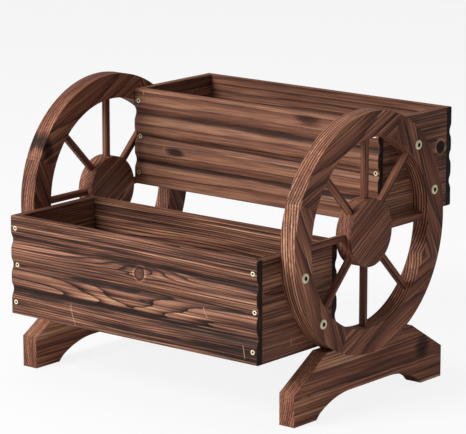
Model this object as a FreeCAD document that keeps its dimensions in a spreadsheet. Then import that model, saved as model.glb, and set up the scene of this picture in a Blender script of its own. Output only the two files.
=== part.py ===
import FreeCAD, Part
import math
import os
import re
import Sketcher
from FreeCAD import Placement, Rotation, Vector

# A two-tier flower cart stand in burnt fir: a low planter box in front and a
# high one behind, hung between two spoked cart wheels that stand in cradle
# feet.  Nothing on it turns: the wheels are bolted to the boxes.
#
# Frame: millimetres, +Z up, +Y to the rear, +X to the right.  The origin is on
# the ground under the middle of the whole cart.  Angles about the wheels'
# axis start at the rear (+Y) and grow upwards (towards +Z).

SIZES = {
    # Wheels: four rim segments, a solid hub and eight square spokes
    "wheel_radius": 225,
    "rim_width": 47.5,
    "rim_thickness": 34,
    "hub_radius": 62.5,
    "spoke_section": 12,
    "spoke_easing": 1.5,
    "tenon_depth": 15,
    "mortise_clearance": 0.1,
    "wheel_lift": 92,
    # Loose tongues across the joints of the rim
    "tongue_width": 22,
    "tongue_thickness": 10,
    "tongue_length": 40,
    "tongue_end_gap": 1,
    # Room for every fastener in its bore
    "bore_clearance": 0.1,
    "bore_end_gap": 1,
    # Boxes: scalloped front and back boards, plain side boards.  A box reaches out
    # from the wheels' axis, and its bottom lies a drop below it.
    "box_length": 594,
    "box_depth": 231,
    "lower_box_reach": 289,
    "upper_box_reach": 296,
    "lower_box_drop": 195,
    "upper_box_drop": 1,
    "board_height": 190,
    "board_thickness": 15,
    "side_thickness": 16,
    "scallop_count": 4,
    "cove_depth": 5.2,
    "cove_radius": 15,
    "shoulder_radius": 18,
    "arris_radius": 3,
    # Floor of a box: three slats on two cleats
    "cleat_section": 20,
    "cleat_end_gap": 1,
    "floor_thickness": 10,
    "floor_gap": 5,
    "floor_end_gap": 1,
    # Cradle feet
    "foot_length": 450,
    "foot_thickness": 34,
    "foot_end_height": 60,
    "foot_top_height": 118.5,
    "foot_top_length": 258,
    "cradle_clearance": 0.3,
    "heel_length": 65,
    "arch_spring": 10,
    "arch_height": 35.5,
    "arch_crown_length": 120,
    # Screws through the boards into the ends of the side boards
    "panel_screw_radius": 2,
    "panel_screw_head_radius": 4.4,
    "panel_screw_head_height": 2.6,
    "panel_screw_length": 45,
    "panel_screw_inset": 10,
    # Square brads: through the cleats into the side boards, and through the slats into the cleats
    "brad_thickness": 1.6,
    "cleat_brad_length": 30,
    "floor_brad_length": 25,
    # Screws up through the feet into the rims, in deep wells
    "foot_screw_radius": 3,
    "foot_screw_head_radius": 6,
    "foot_screw_head_height": 4,
    "foot_screw_length": 70,
    "foot_screw_well": 20,
    "foot_screw_spacing": 90,
    # Bolts through the rims into the side boards
    "bolt_radius": 4,
    "bolt_head_radius": 9,
    "bolt_head_height": 2.6,
    "bolt_head_ease": 1,
    "bolt_socket_width": 5,
    "bolt_socket_depth": 4,
    "bolt_tip": 3,
    "washer_radius": 8.5,
    "washer_thickness": 1.6,
    "nut_width": 13,
    "nut_thickness": 6.5,
}

SEGMENTS = 4
SPOKES = 8
SHANK_FACE_COUNT = 8
HEAD_FACE_COUNT = 12
FIRST_JOINT_ANGLE = 67.5
BOLT_ANGLES = (14.3, 45.0, 193.7, 225.0)
SIDES = {"left": -1, "right": 1}
OVERCUT = 5.0
NEARLY = 1e-4

SPOKE_NAMES = ("rear", "upper_rear", "top", "upper_front", "front", "lower_front", "bottom", "lower_rear")
SEGMENT_NAMES = ("upper_rear", "upper_front", "lower_front", "lower_rear")
SLAT_NAMES = ("front", "middle", "rear")

# Ways for a board to stand
AS_DRAWN = Rotation()
TURNED_ROUND = Rotation(Vector(0, 0, 1), 180)

# Ways for a fastener to face: the turn that takes its head from +Z there
HEAD_UP = Rotation()
HEAD_DOWN = Rotation(Vector(1, 0, 0), 180)
HEAD_FRONT = Rotation(Vector(1, 0, 0), 90)
HEAD_REAR = Rotation(Vector(1, 0, 0), -90)
HEAD_RIGHT = Rotation(Vector(0, 1, 0), 90)
HEAD_LEFT = Rotation(Vector(0, 1, 0), -90)

# A wedge is made lying along +Y
WEDGE_UPRIGHT = Rotation(Vector(1, 0, 0), 90)

# Formulas that several pieces share
AXIS_Y = "((lower_box_reach - upper_box_reach) / 2)"
AXIS_Z = "(wheel_lift + wheel_radius)"
RIM_INNER = "(wheel_radius - rim_width)"
RIM_MIDDLE = "(wheel_radius - rim_width / 2)"
SCALLOP_PITCH = "(board_height / scallop_count)"
INNER_DEPTH = "(box_depth - 2 * board_thickness)"
INNER_LENGTH = "(box_length - 2 * side_thickness)"
SLAT_WIDTH = f"(({INNER_DEPTH} - {len(SLAT_NAMES) + 1} * floor_gap) / {len(SLAT_NAMES)})"
BOX_FRONT = {
    "lower": f"({AXIS_Y} - lower_box_reach)",
    "upper": f"({AXIS_Y} + upper_box_reach - box_depth)",
}

doc = FreeCAD.newDocument("flower_cart_stand")
sheet = doc.addObject("Spreadsheet::Sheet", "Sizes")
for row, (name, size) in enumerate(SIZES.items(), start=1):
    sheet.set(f"A{row}", name)
    sheet.set(f"B{row}", str(size))
    sheet.setAlias(f"B{row}", name)
doc.recompute()

nodes = []


def bound(formula):
    """Write each size named in a formula as a reference to the sheet."""

    def refer(word):
        return "Sizes." + word[0] if word[0] in SIZES else word[0]

    return re.sub(r"[a-z][a-z_]+", refer, formula)


def number(formula):
    """Work a formula out with the sheet's present values."""
    return float(sheet.evalExpression(bound(formula)))


def place(piece, x, y, z, turn=AS_DRAWN):
    """Put a piece at a place given by three formulas, turned as asked."""
    piece.Placement = Placement(Vector(), turn)
    for axis, formula in zip("xyz", (x, y, z)):
        piece.setExpression("Placement.Base." + axis, bound(formula))
    return piece


def primitive(kind, name, sizes, x="0", y="0", z="0", turn=AS_DRAWN):
    """Add a Part primitive whose properties follow formulas."""
    piece = doc.addObject("Part::" + kind, name)
    for key, formula in sizes.items():
        piece.setExpression(key, bound(formula))
    return place(piece, x, y, z, turn)


def group(name, members, x="0", y="0", z="0", turn=AS_DRAWN):
    """Hold members together as separate solids, placed as one."""
    piece = doc.addObject("Part::Compound", name)
    piece.Links = members
    return place(piece, x, y, z, turn)


def faceted(name, radius, height, z="0", flats=SHANK_FACE_COUNT):
    """A round bar along Z, drawn with a few flats that touch its radius."""
    sizes = {"Circumradius": f"({radius}) / cos({180 / flats})", "Height": height}
    bar = primitive("Prism", name, sizes, z=z)
    bar.Polygon = flats
    return bar


def tapered(name, low_radius, high_radius, height, z="0", flats=SHANK_FACE_COUNT):
    """A bar as above, whose radius changes from foot to top.

    It is what a few wedges, turned about Z, have in common.
    """
    sizes = {"Ymin": "0", "Ymax": height}
    for end, radius in (("", low_radius), ("2", high_radius)):
        for side in "XZ":
            sizes[f"{side}{end}min"] = f"-({radius})"
            sizes[f"{side}{end}max"] = radius
    wedges = []
    for index in range(flats // 4):
        turn = Rotation(Vector(0, 0, 1), (index + 0.5) * 360 / flats) * WEDGE_UPRIGHT
        wedges.append(primitive("Wedge", f"{name}_wedge_{index}", sizes, z=z, turn=turn))
    bar = doc.addObject("Part::MultiCommon", name)
    bar.Shapes = wedges
    bar.Refine = True
    return bar


def fused(name, members):
    """Join members into one solid."""
    piece = doc.addObject("Part::MultiFuse", name)
    piece.Shapes = members
    piece.Refine = True
    return piece


def cut(name, base, tools):
    """Cut tools that do not touch each other out of a piece."""
    piece = doc.addObject("Part::Cut", name)
    piece.Base = base
    piece.Tool = group(name + "_tools", tools)
    piece.Refine = True
    return piece


def node(label, piece):
    """Name a finished sub-part: its label is its file's name."""
    piece.Label = label
    nodes.append(piece)
    return piece


def new_sketch(body, name, role="YZ_Plane"):
    """Add a sketch on one of the body's own origin planes."""
    plane = next(feature for feature in body.Origin.OriginFeatures if feature.Role == role)
    sketch = body.newObject("Sketcher::SketchObject", name)
    sketch.AttachmentSupport = [(plane, "")]
    sketch.MapMode = "FlatFace"
    return sketch


def hold(sketch, kind, formula, *where):
    """Add a constraint whose value follows a formula."""
    index = sketch.addConstraint(Sketcher.Constraint(kind, *where, number(formula)))
    sketch.setExpression(f"Constraints[{index}]", bound(formula))


def hold_point(sketch, corner, geometry, end):
    """Tie a point of the sketch to a corner given as two formulas."""
    hold(sketch, "DistanceX", corner[0], -1, 1, geometry, end)
    hold(sketch, "DistanceY", corner[1], -1, 1, geometry, end)


def bulge_point(start, end, radius, side):
    """Find the middle of the short arc from start to end, on one side of its chord."""
    chord = end - start
    sagitta = radius - math.sqrt(radius**2 - (chord.Length / 2) ** 2)
    across = Vector(-chord.y, chord.x, 0).normalize()
    return (start + end) / 2 + across * side * sagitta


def draw_outline(sketch, corners, arcs=None):
    """Draw a closed outline through corners given as pairs of formulas.

    arcs gives, for the corner that an arc starts from, its radius as a formula
    and the side it bulges to: 1 is left of the way to the next corner, -1 right.
    """
    arcs = arcs or {}
    points = [Vector(number(x), number(y), 0) for x, y in corners]
    for index, start in enumerate(points):
        end = points[(index + 1) % len(points)]
        if index in arcs:
            radius, side = arcs[index]
            middle = bulge_point(start, end, number(radius), side)
            sketch.addGeometry(Part.Arc(start, middle, end))
        else:
            sketch.addGeometry(Part.LineSegment(start, end))

    def end_at(geometry, point):
        gaps = [(sketch.getPoint(geometry, end) - point).Length for end in (1, 2)]
        return 1 if gaps[0] < gaps[1] else 2

    for index, point in enumerate(points):
        before = (index - 1) % len(points)
        here = end_at(index, point)
        sketch.addConstraint(Sketcher.Constraint("Coincident", before, end_at(before, point), index, here))
        hold_point(sketch, corners[index], index, here)
    for index, (radius, _) in arcs.items():
        hold(sketch, "Radius", radius, index)


def draw_circle(sketch, x, y, radius):
    """Draw a circle from three formulas."""
    centre = Vector(number(x), number(y), 0)
    circle = sketch.addGeometry(Part.Circle(centre, Vector(0, 0, 1), number(radius)))
    hold_point(sketch, (x, y), circle, 3)
    hold(sketch, "Radius", radius, circle)


def pad_both_ways(body, sketch, length):
    """Thicken a sketch evenly to both sides of its plane."""
    pad = body.newObject("PartDesign::Pad", sketch.Name + "_pad")
    pad.Profile = sketch
    pad.SideType = "Symmetric"
    pad.setExpression("Length", bound(length))
    doc.recompute()
    return pad


def pocket_both_ways(body, sketch, length):
    """Cut a sketch out on both sides of its plane, and see that it cuts."""
    before = body.Shape.Volume
    pocket = body.newObject("PartDesign::Pocket", sketch.Name + "_pocket")
    pocket.Profile = sketch
    pocket.SideType = "Symmetric"
    pocket.setExpression("Length", bound(length))
    doc.recompute()
    if body.Shape.Volume >= before:
        raise RuntimeError(f"{pocket.Name} cuts nothing")
    return pocket


def dress_edges(body, kind, name, size, formula, chosen):
    """Round or chamfer the edges of the last feature that a test picks out."""
    base = body.Tip
    feature = body.newObject("PartDesign::" + kind, name)
    edges = enumerate(base.Shape.Edges, start=1)
    feature.Base = (base, [f"Edge{index}" for index, edge in edges if chosen(edge)])
    feature.setExpression(size, bound(formula))
    doc.recompute()
    return feature


# ---------------------------------------------------------------- fasteners
# The round fasteners and their bores have a few flats instead of a round.


def screw_members(family, purpose, clearance="0", bottom="0", top=None):
    """Build the head, shank and well of a countersunk screw or of its hole.

    The head's flat top is at z = 0 and the shank points down.  clearance widens
    the shank, bottom deepens it, and a well of height top stands over the head.
    """
    name = f"{family}_{purpose}"
    radius = f"{family}_radius"
    head_radius = f"{family}_head_radius"
    head_height = f"{family}_head_height"
    depth = f"({family}_length + {bottom})"
    head = tapered(name + "_head", radius, head_radius, head_height, f"-{head_height}")
    shank_length = f"{depth} - {head_height} / 2"
    shank = faceted(name + "_shank", f"{radius} + {clearance}", shank_length, f"-{depth}")
    members = [head, shank]
    if top:
        members.append(faceted(name + "_well", f"{head_radius} + {clearance}", top))
    return members


def screw_family(family, well):
    """Make the pattern screw and the pattern drill of one kind of screw."""
    screw = fused(f"{family}_pattern", screw_members(family, "body"))
    members = screw_members(family, "hole", "bore_clearance", "bore_end_gap", well)
    drill = fused(f"{family}_drill_pattern", members)
    return screw, drill


def brad_family(family):
    """Make the pattern brad of one length and the hole it drives, which it fills across."""
    pair = []
    for purpose, gap in (("pattern", "0"), ("hole", "bore_end_gap")):
        length = f"({family}_length + {gap})"
        sizes = {"Length": "brad_thickness", "Width": "brad_thickness", "Height": length}
        corner = ("-brad_thickness / 2", "-brad_thickness / 2", f"-{length}")
        pair.append(primitive("Box", f"{family}_{purpose}", sizes, *corner))
    return pair


class Fastener:
    """One fastener and the drill that made its hole, at the same spot.

    side is -1 or 1, the end of the cart that it is at; board is the front or
    back board it goes through, if any.
    """

    count = 0

    def __init__(self, pattern, drill, x, y, z, turn, side, board=""):
        Fastener.count += 1
        self.side = side
        self.board = board
        self.solid = group(f"fastener_{Fastener.count}", [pattern], x, y, z, turn)
        self.drill = group(f"drill_{Fastener.count}", [drill], x, y, z, turn)


panel_screw = screw_family("panel_screw", "cove_depth")
foot_screw = screw_family("foot_screw", f"foot_screw_well + {OVERCUT}")
cleat_brad = brad_family("cleat_brad")
floor_brad = brad_family("floor_brad")


def make_bolt_patterns():
    """Make the bolt, its washer and nut and their drill: under the head is z = 0."""
    grip = "(rim_thickness + side_thickness)"
    length = f"({grip} + washer_thickness + nut_thickness + bolt_tip)"
    head = tapered(
        "bolt_head",
        "bolt_head_radius",
        "bolt_head_radius - bolt_head_ease",
        "bolt_head_height",
        flats=HEAD_FACE_COUNT,
    )
    shank = faceted("bolt_shank", "bolt_radius", length, f"-{length}")
    socket = primitive(
        "Prism",
        "bolt_socket",
        {"Circumradius": "bolt_socket_width / sqrt(3)", "Height": f"bolt_socket_depth + {OVERCUT}"},
        z="bolt_head_height - bolt_socket_depth",
    )
    bolt = cut("bolt_pattern", fused("bolt_blank", [head, shank]), [socket])
    washer_foot = f"-{grip} - washer_thickness"
    washer_ring = faceted("washer_blank", "washer_radius", "washer_thickness", washer_foot)
    nut_block = primitive(
        "Prism",
        "nut_blank",
        {"Circumradius": "nut_width / sqrt(3)", "Height": "nut_thickness"},
        z=f"{washer_foot} - nut_thickness",
    )
    bore_length = f"{length} + 2 * {OVERCUT}"
    bore = faceted("bolt_bore", "bolt_radius + bore_clearance", bore_length, f"-{length} - {OVERCUT}")
    washer = cut("washer_pattern", washer_ring, [bore])
    nut = cut("nut_pattern", nut_block, [bore])
    return bolt, washer, nut, bore


bolt_pattern, washer_pattern, nut_pattern, bolt_bore = make_bolt_patterns()


# ------------------------------------------------------------------- wheels


def wheel_centre(side):
    """Give the middle of a wheel as three formulas."""
    return (f"{side} * (box_length + rim_thickness) / 2", AXIS_Y, AXIS_Z)


def about_axis(angle):
    """Turn about the wheels' axis."""
    return Rotation(Vector(1, 0, 0), angle)


def make_rim_blank():
    """One quarter of a rim, centred on +Y, before its mortises and bores."""
    body = doc.addObject("PartDesign::Body", "rim_segment_blank")
    sketch = new_sketch(body, "rim_segment_outline")
    half = 180 / SEGMENTS
    corners = [
        (f"{radius} * cos({half})", f"{sign} * {radius} * sin({half})")
        for radius, sign in (("wheel_radius", -1), ("wheel_radius", 1), (RIM_INNER, 1), (RIM_INNER, -1))
    ]
    draw_outline(sketch, corners, {0: ("wheel_radius", -1), 2: (RIM_INNER, 1)})
    pad_both_ways(body, sketch, "rim_thickness")
    return body


def make_hub_blank():
    """A solid disc on the X axis."""
    body = doc.addObject("PartDesign::Body", "hub_blank")
    sketch = new_sketch(body, "hub_outline")
    draw_circle(sketch, "0", "0", "hub_radius")
    pad_both_ways(body, sketch, "rim_thickness")
    return body


def make_spoke_pattern():
    """A square bar along +Y from inside the hub to inside the rim, its long edges eased."""
    body = doc.addObject("PartDesign::Body", "spoke_pattern")
    sketch = new_sketch(body, "spoke_outline")
    root = "(hub_radius - tenon_depth)"
    end = f"({RIM_INNER} + tenon_depth)"
    low, high = "-spoke_section / 2", "spoke_section / 2"
    draw_outline(sketch, [(root, low), (end, low), (end, high), (root, high)])
    pad_both_ways(body, sketch, "spoke_section")

    def runs_along(edge):
        return abs(edge.tangentAt(edge.FirstParameter).y) > 0.9

    dress_edges(body, "Chamfer", "spoke_chamfer", "Size", "spoke_easing", runs_along)
    return body


def make_mortise_pattern():
    """The space that a spoke takes with its two tenons."""
    width = "(spoke_section + 2 * mortise_clearance)"
    root = "hub_radius - tenon_depth"
    sizes = {"Length": width, "Height": width, "Width": f"{RIM_INNER} + tenon_depth - ({root})"}
    return primitive("Box", "mortise_pattern", sizes, f"-{width} / 2", root, f"-{width} / 2")


def make_tongue_pattern(name, end_gap):
    """A tongue across a rim joint at angle 0, or its slot, which it fills: it is glued."""
    length = f"(tongue_length + 2 * {end_gap})"
    sizes = {"Length": "tongue_thickness", "Width": "tongue_width", "Height": length}
    corner = ("-tongue_thickness / 2", f"{RIM_MIDDLE} - tongue_width / 2", f"-{length} / 2")
    return primitive("Box", name, sizes, *corner)


def make_bolt(side, angle):
    """One wheel bolt with its drill, washer and nut."""
    spot = (
        f"{side} * (box_length / 2 + rim_thickness)",
        f"{AXIS_Y} + {RIM_MIDDLE} * cos({angle})",
        f"{AXIS_Z} + {RIM_MIDDLE} * sin({angle})",
    )
    turn = HEAD_RIGHT if side > 0 else HEAD_LEFT
    bolt = Fastener(bolt_pattern, bolt_bore, *spot, turn, side)
    bolt.washer = group(f"washer_{Fastener.count}", [washer_pattern], *spot, turn)
    bolt.nut = group(f"nut_{Fastener.count}", [nut_pattern], *spot, turn)
    bolt.angle = angle
    return bolt


def make_foot_screws(side):
    """Two screws up through a foot, either side of the wheel's lowest point."""
    return [
        Fastener(
            *foot_screw,
            wheel_centre(side)[0],
            f"{AXIS_Y} + {sign} * foot_screw_spacing / 2",
            "arch_height + foot_screw_well",
            HEAD_DOWN,
            side,
        )
        for sign in (-1, 1)
    ]


def within(angle, middle, half):
    """Tell whether an angle lies within half of a middle angle."""
    return abs((angle - middle + 180) % 360 - 180) < half


bolts = [make_bolt(side, angle) for side in SIDES.values() for angle in BOLT_ANGLES]
foot_screws = [screw for side in SIDES.values() for screw in make_foot_screws(side)]

rim_blank = make_rim_blank()
hub_blank = make_hub_blank()
spoke_pattern = make_spoke_pattern()
mortise_pattern = make_mortise_pattern()
tongue_pattern = make_tongue_pattern("tongue_pattern", "0")
slot_pattern = make_tongue_pattern("tongue_slot_pattern", "tongue_end_gap")
tongues = []


def build_wheel(hand, side):
    """Rim segments, hub and spokes of one wheel."""
    centre = wheel_centre(side)
    quarter = 360 / SEGMENTS
    joints = [FIRST_JOINT_ANGLE + quarter * index for index in range(SEGMENTS)]
    spoke_angles = [360 / SPOKES * index for index in range(SPOKES)]
    mortises = {
        angle: group(f"{hand}_mortise_{index}", [mortise_pattern], *centre, about_axis(angle))
        for index, angle in enumerate(spoke_angles)
    }
    bores = {bolt.angle: bolt.drill for bolt in bolts if bolt.side == side}
    slots = {}
    for index, joint in enumerate(joints):
        turn = about_axis(joint)
        slots[joint] = group(f"{hand}_tongue_slot_{index}", [slot_pattern], *centre, turn)
        tongues.append(group(f"{hand}_tongue_{index}", [tongue_pattern], *centre, turn))
    for index, name in enumerate(SEGMENT_NAMES):
        label = f"{hand}_rim_{name}"
        middle = FIRST_JOINT_ANGLE - quarter / 2 + quarter * index
        blank = group(label + "_blank", [rim_blank], *centre, about_axis(middle))
        tools = [tool for angle, tool in mortises.items() if within(angle, middle, quarter / 2)]
        tools += [tool for joint, tool in slots.items() if within(joint, middle, quarter)]
        tools += [tool for angle, tool in bores.items() if within(angle, middle, quarter / 2)]
        if name == "lower_rear":
            tools += [screw.drill for screw in foot_screws if screw.side == side]
        node(label, cut(label, blank, tools))
    hub = group(hand + "_hub_blank", [hub_blank], *centre)
    node(hand + "_hub", cut(hand + "_hub", hub, list(mortises.values())))
    for name, angle in zip(SPOKE_NAMES, spoke_angles):
        label = f"{hand}_spoke_{name}"
        node(label, group(label, [spoke_pattern], *centre, about_axis(angle)))


def make_foot_blank():
    """A cradle foot on the ground, centred under the wheel: cradle above, arch below."""
    body = doc.addObject("PartDesign::Body", "foot_blank")
    sketch = new_sketch(body, "foot_outline")
    cradle_radius = "(wheel_radius + cradle_clearance)"
    cradle_height = f"({AXIS_Z} + cradle_clearance)"
    lip = f"sqrt({cradle_radius} ^ 2 - ({cradle_height} - foot_top_height) ^ 2)"
    heel = "(foot_length / 2 - heel_length)"
    spring = f"({heel} - arch_spring)"
    crown = "(arch_crown_length / 2)"
    rise = "(arch_height - arch_spring)"
    half = [
        (lip, "foot_top_height"),
        ("foot_top_length / 2", "foot_top_height"),
        ("foot_length / 2", "foot_end_height"),
        ("foot_length / 2", "0"),
        (heel, "0"),
        (spring, "arch_spring"),
        (crown, "arch_height"),
    ]
    corners = half + [(f"-({y})", z) for y, z in reversed(half)]
    haunch = f"((({spring} - {crown}) ^ 2 + {rise} ^ 2) / (2 * {rise}))"
    last = len(corners) - 1
    arcs = {5: (haunch, -1), 7: (haunch, -1), last: (cradle_radius, -1)}
    draw_outline(sketch, corners, arcs)
    pad_both_ways(body, sketch, "foot_thickness")
    return body


foot_blank = make_foot_blank()


def build_foot(hand, side):
    """The cradle foot under one wheel, with its screw wells."""
    x = wheel_centre(side)[0]
    label = hand + "_foot"
    blank = group(label + "_blank", [foot_blank], x, AXIS_Y)
    node(label, cut(label, blank, [screw.drill for screw in foot_screws if screw.side == side]))


# -------------------------------------------------------------------- boxes


def make_scalloped_board():
    """A board along X whose outer face, towards -Y, is worked into four scallops.

    Its flat inner face is at y = 0 and its lower edge at z = 0.
    """
    body = doc.addObject("PartDesign::Body", "scalloped_board_blank")
    outline = new_sketch(body, "board_section")
    face = "-board_thickness"
    draw_outline(outline, [(face, "0"), ("0", "0"), ("0", "board_height"), (face, "board_height")])
    pad_both_ways(body, outline, "box_length")
    coves = new_sketch(body, "coves")
    outside = f"{face} + cove_depth - cove_radius"
    for index in range(1, int(number("scallop_count"))):
        draw_circle(coves, outside, f"{index} * {SCALLOP_PITCH}", "cove_radius")
    pocket_both_ways(body, coves, f"box_length + 2 * {OVERCUT}")
    height = number("board_height")

    def on_outer_face(edge):
        ends = [vertex.Point for vertex in edge.Vertexes]
        along = abs(edge.tangentAt(edge.FirstParameter).x) > 0.9
        return along and all(abs(end.y - number(face)) < NEARLY for end in ends)

    def is_arris(edge):
        return on_outer_face(edge) and min(abs(edge.Vertexes[0].Z - z) for z in (0, height)) < NEARLY

    def is_shoulder(edge):
        return on_outer_face(edge) and not is_arris(edge)

    dress_edges(body, "Fillet", "shoulders", "Radius", "shoulder_radius", is_shoulder)
    dress_edges(body, "Fillet", "arrises", "Radius", "arris_radius", is_arris)
    return body


scalloped_board = make_scalloped_board()


def make_panel_screws(front, bottom):
    """Six screws in each scalloped board: three at each end, into the side boards."""
    rows = (
        ("0", f"{SCALLOP_PITCH} / 2"),
        ("cove_depth", f"{SCALLOP_PITCH} * floor(scallop_count / 2)"),
        ("0", f"board_height - {SCALLOP_PITCH} / 2"),
    )
    screws = []
    for sunk, height in rows:
        for side in SIDES.values():
            x = f"{side} * (box_length / 2 - panel_screw_inset)"
            z = f"{bottom} + {height}"
            back = f"{front} + box_depth - {sunk}"
            screws.append(Fastener(*panel_screw, x, f"{front} + {sunk}", z, HEAD_FRONT, side, "front"))
            screws.append(Fastener(*panel_screw, x, back, z, HEAD_REAR, side, "back"))
    return screws


def build_box(level):
    """Boards, cleats and slatted floor of one planter box, with their fasteners."""
    box = level + "_box"
    front = BOX_FRONT[level]
    bottom = f"({AXIS_Z} - {box}_drop)"
    inner_front = f"({front} + board_thickness)"
    middle_y = f"({front} + box_depth / 2)"
    panel_screws = make_panel_screws(front, bottom)
    boards = {
        "front": (inner_front, AS_DRAWN),
        "back": (f"{inner_front} + {INNER_DEPTH}", TURNED_ROUND),
    }
    for board, (y, turn) in boards.items():
        label = f"{box}_{board}"
        blank = group(label + "_blank", [scalloped_board], "0", y, bottom, turn)
        node(label, cut(label, blank, [screw.drill for screw in panel_screws if screw.board == board]))

    # Slats lie on the cleats; a brad at each end of a slat goes down into a cleat.
    floor_brads = []
    for index, name in enumerate(SLAT_NAMES):
        y = f"({inner_front} + floor_gap + {index} * ({SLAT_WIDTH} + floor_gap))"
        pair = [
            Fastener(
                *floor_brad,
                f"{side} * ({INNER_LENGTH} - cleat_section) / 2",
                f"{y} + {SLAT_WIDTH} / 2",
                f"{bottom} + cleat_section + floor_thickness",
                HEAD_UP,
                side,
            )
            for side in SIDES.values()
        ]
        floor_brads += pair
        slat_length = f"({INNER_LENGTH} - 2 * floor_end_gap)"
        sizes = {"Length": slat_length, "Width": SLAT_WIDTH, "Height": "floor_thickness"}
        corner = (f"-{slat_length} / 2", y, f"{bottom} + cleat_section")
        label = f"{box}_floor_{name}"
        slat = primitive("Box", label + "_blank", sizes, *corner)
        node(label, cut(label, slat, [brad.drill for brad in pair]))

    # Each side board carries a cleat along its foot, held by two brads between those of the slats.
    cleat_brads = []
    for hand, side in SIDES.items():
        face = f"{side} * ({INNER_LENGTH} / 2 - cleat_section)"
        turn = HEAD_LEFT if side > 0 else HEAD_RIGHT
        pair = [
            Fastener(
                *cleat_brad,
                face,
                f"{middle_y} + {sign} * ({SLAT_WIDTH} + floor_gap) / 2",
                f"{bottom} + cleat_section / 2",
                turn,
                side,
            )
            for sign in (-1, 1)
        ]
        cleat_brads += pair
        cleat_sizes = {
            "Length": "cleat_section",
            "Width": f"{INNER_DEPTH} - 2 * cleat_end_gap",
            "Height": "cleat_section",
        }
        cleat_middle = f"{side} * ({INNER_LENGTH} - cleat_section) / 2"
        cleat = primitive(
            "Box",
            f"{box}_{hand}_cleat_blank",
            cleat_sizes,
            f"{cleat_middle} - cleat_section / 2",
            f"{inner_front} + cleat_end_gap",
            bottom,
        )
        tools = [brad.drill for brad in floor_brads if brad.side == side]
        tools += [brad.drill for brad in pair]
        node(f"{box}_{hand}_cleat", cut(f"{box}_{hand}_cleat", cleat, tools))

        side_sizes = {"Length": "side_thickness", "Width": INNER_DEPTH, "Height": "board_height"}
        side_middle = f"{side} * (box_length - side_thickness) / 2"
        label = f"{box}_{hand}_side"
        board = primitive(
            "Box",
            label + "_blank",
            side_sizes,
            f"{side_middle} - side_thickness / 2",
            inner_front,
            bottom,
        )
        tools = [screw.drill for screw in panel_screws if screw.side == side]
        tools += [brad.drill for brad in pair]
        upper = level == "upper"
        tools += [bolt.drill for bolt in bolts if bolt.side == side and (bolt.angle < 90) == upper]
        node(label, cut(label, board, tools))

    node(f"{box}_panel_screws", group(f"{box}_panel_screws", [screw.solid for screw in panel_screws]))
    return floor_brads, cleat_brads


# ----------------------------------------------------------------- assembly

all_floor_brads = []
all_cleat_brads = []
for level in BOX_FRONT:
    of_floor, of_cleats = build_box(level)
    all_floor_brads += of_floor
    all_cleat_brads += of_cleats
for hand, side in SIDES.items():
    build_wheel(hand, side)
    build_foot(hand, side)

node("floor_brads", group("floor_brads", [brad.solid for brad in all_floor_brads]))
node("cleat_brads", group("cleat_brads", [brad.solid for brad in all_cleat_brads]))
node("foot_screws", group("foot_screws", [screw.solid for screw in foot_screws]))
node("wheel_bolts", group("wheel_bolts", [bolt.solid for bolt in bolts]))
node("wheel_washers", group("wheel_washers", [bolt.washer for bolt in bolts]))
node("wheel_nuts", group("wheel_nuts", [bolt.nut for bolt in bolts]))
node("rim_tongues", group("rim_tongues", tongues))
doc.recompute()

for item in doc.Objects:
    if {"Invalid", "Error"} & set(item.State):
        raise RuntimeError(f"{item.Name} failed: {item.State}")
for item in nodes:
    if item.Shape.isNull() or not item.Shape.isValid() or not item.Shape.Solids:
        raise RuntimeError(f"{item.Label} has no sound shape")

os.makedirs("parts", exist_ok=True)
for item in nodes:
    item.Shape.exportStep(f"parts/{item.Label}.step")
print(f"{len(nodes)} nodes, {sum(len(item.Shape.Solids) for item in nodes)} solids")
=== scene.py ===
"""Looks of a two-tier flower cart stand in burnt fir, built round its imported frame.

Lengths are metres and angles degrees, in the frame's own axes: +X to the right,
+Y to the rear and +Z up, with the origin on the ground under the middle.
"""
import logging
import math
from dataclasses import dataclass, field, replace
from enum import Enum
from typing import Any, Callable, Iterator, Sequence

import bmesh
import bpy
from mathutils import Matrix, Vector


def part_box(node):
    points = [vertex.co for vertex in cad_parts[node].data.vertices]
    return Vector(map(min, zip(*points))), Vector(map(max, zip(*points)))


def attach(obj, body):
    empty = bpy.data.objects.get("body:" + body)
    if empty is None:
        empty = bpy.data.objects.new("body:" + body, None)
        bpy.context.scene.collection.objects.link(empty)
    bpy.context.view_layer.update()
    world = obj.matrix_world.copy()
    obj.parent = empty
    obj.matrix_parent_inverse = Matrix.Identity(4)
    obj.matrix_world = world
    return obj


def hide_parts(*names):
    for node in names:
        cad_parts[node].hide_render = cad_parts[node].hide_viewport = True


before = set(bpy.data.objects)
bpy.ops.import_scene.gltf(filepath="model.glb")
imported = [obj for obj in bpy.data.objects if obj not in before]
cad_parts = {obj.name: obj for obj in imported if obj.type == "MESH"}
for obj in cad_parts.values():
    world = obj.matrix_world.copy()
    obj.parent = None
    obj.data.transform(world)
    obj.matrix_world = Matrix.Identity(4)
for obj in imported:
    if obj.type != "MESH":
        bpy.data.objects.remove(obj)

logging.basicConfig(level=logging.INFO, format="%(message)s")
log = logging.getLogger("flower_cart_stand")

Colour = tuple[float, float, float, float]
Number = float | int
Triple = tuple[float, float, float]
MM = 0.001
X_AXIS, Y_AXIS, Z_AXIS = Vector((1, 0, 0)), Vector((0, 1, 0)), Vector((0, 0, 1))


def srgb(red: int, green: int, blue: int) -> Colour:
    """Turn a colour as seen on a screen, 0 to 255, into a linear one.

    Args:
        red, green, blue: the colour's screen values.

    Returns:
        The linear colour with full alpha.
    """
    shares = (red / 255, green / 255, blue / 255)
    return (*(((share + 0.055) / 1.055) ** 2.4 for share in shares), 1.0)


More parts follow.
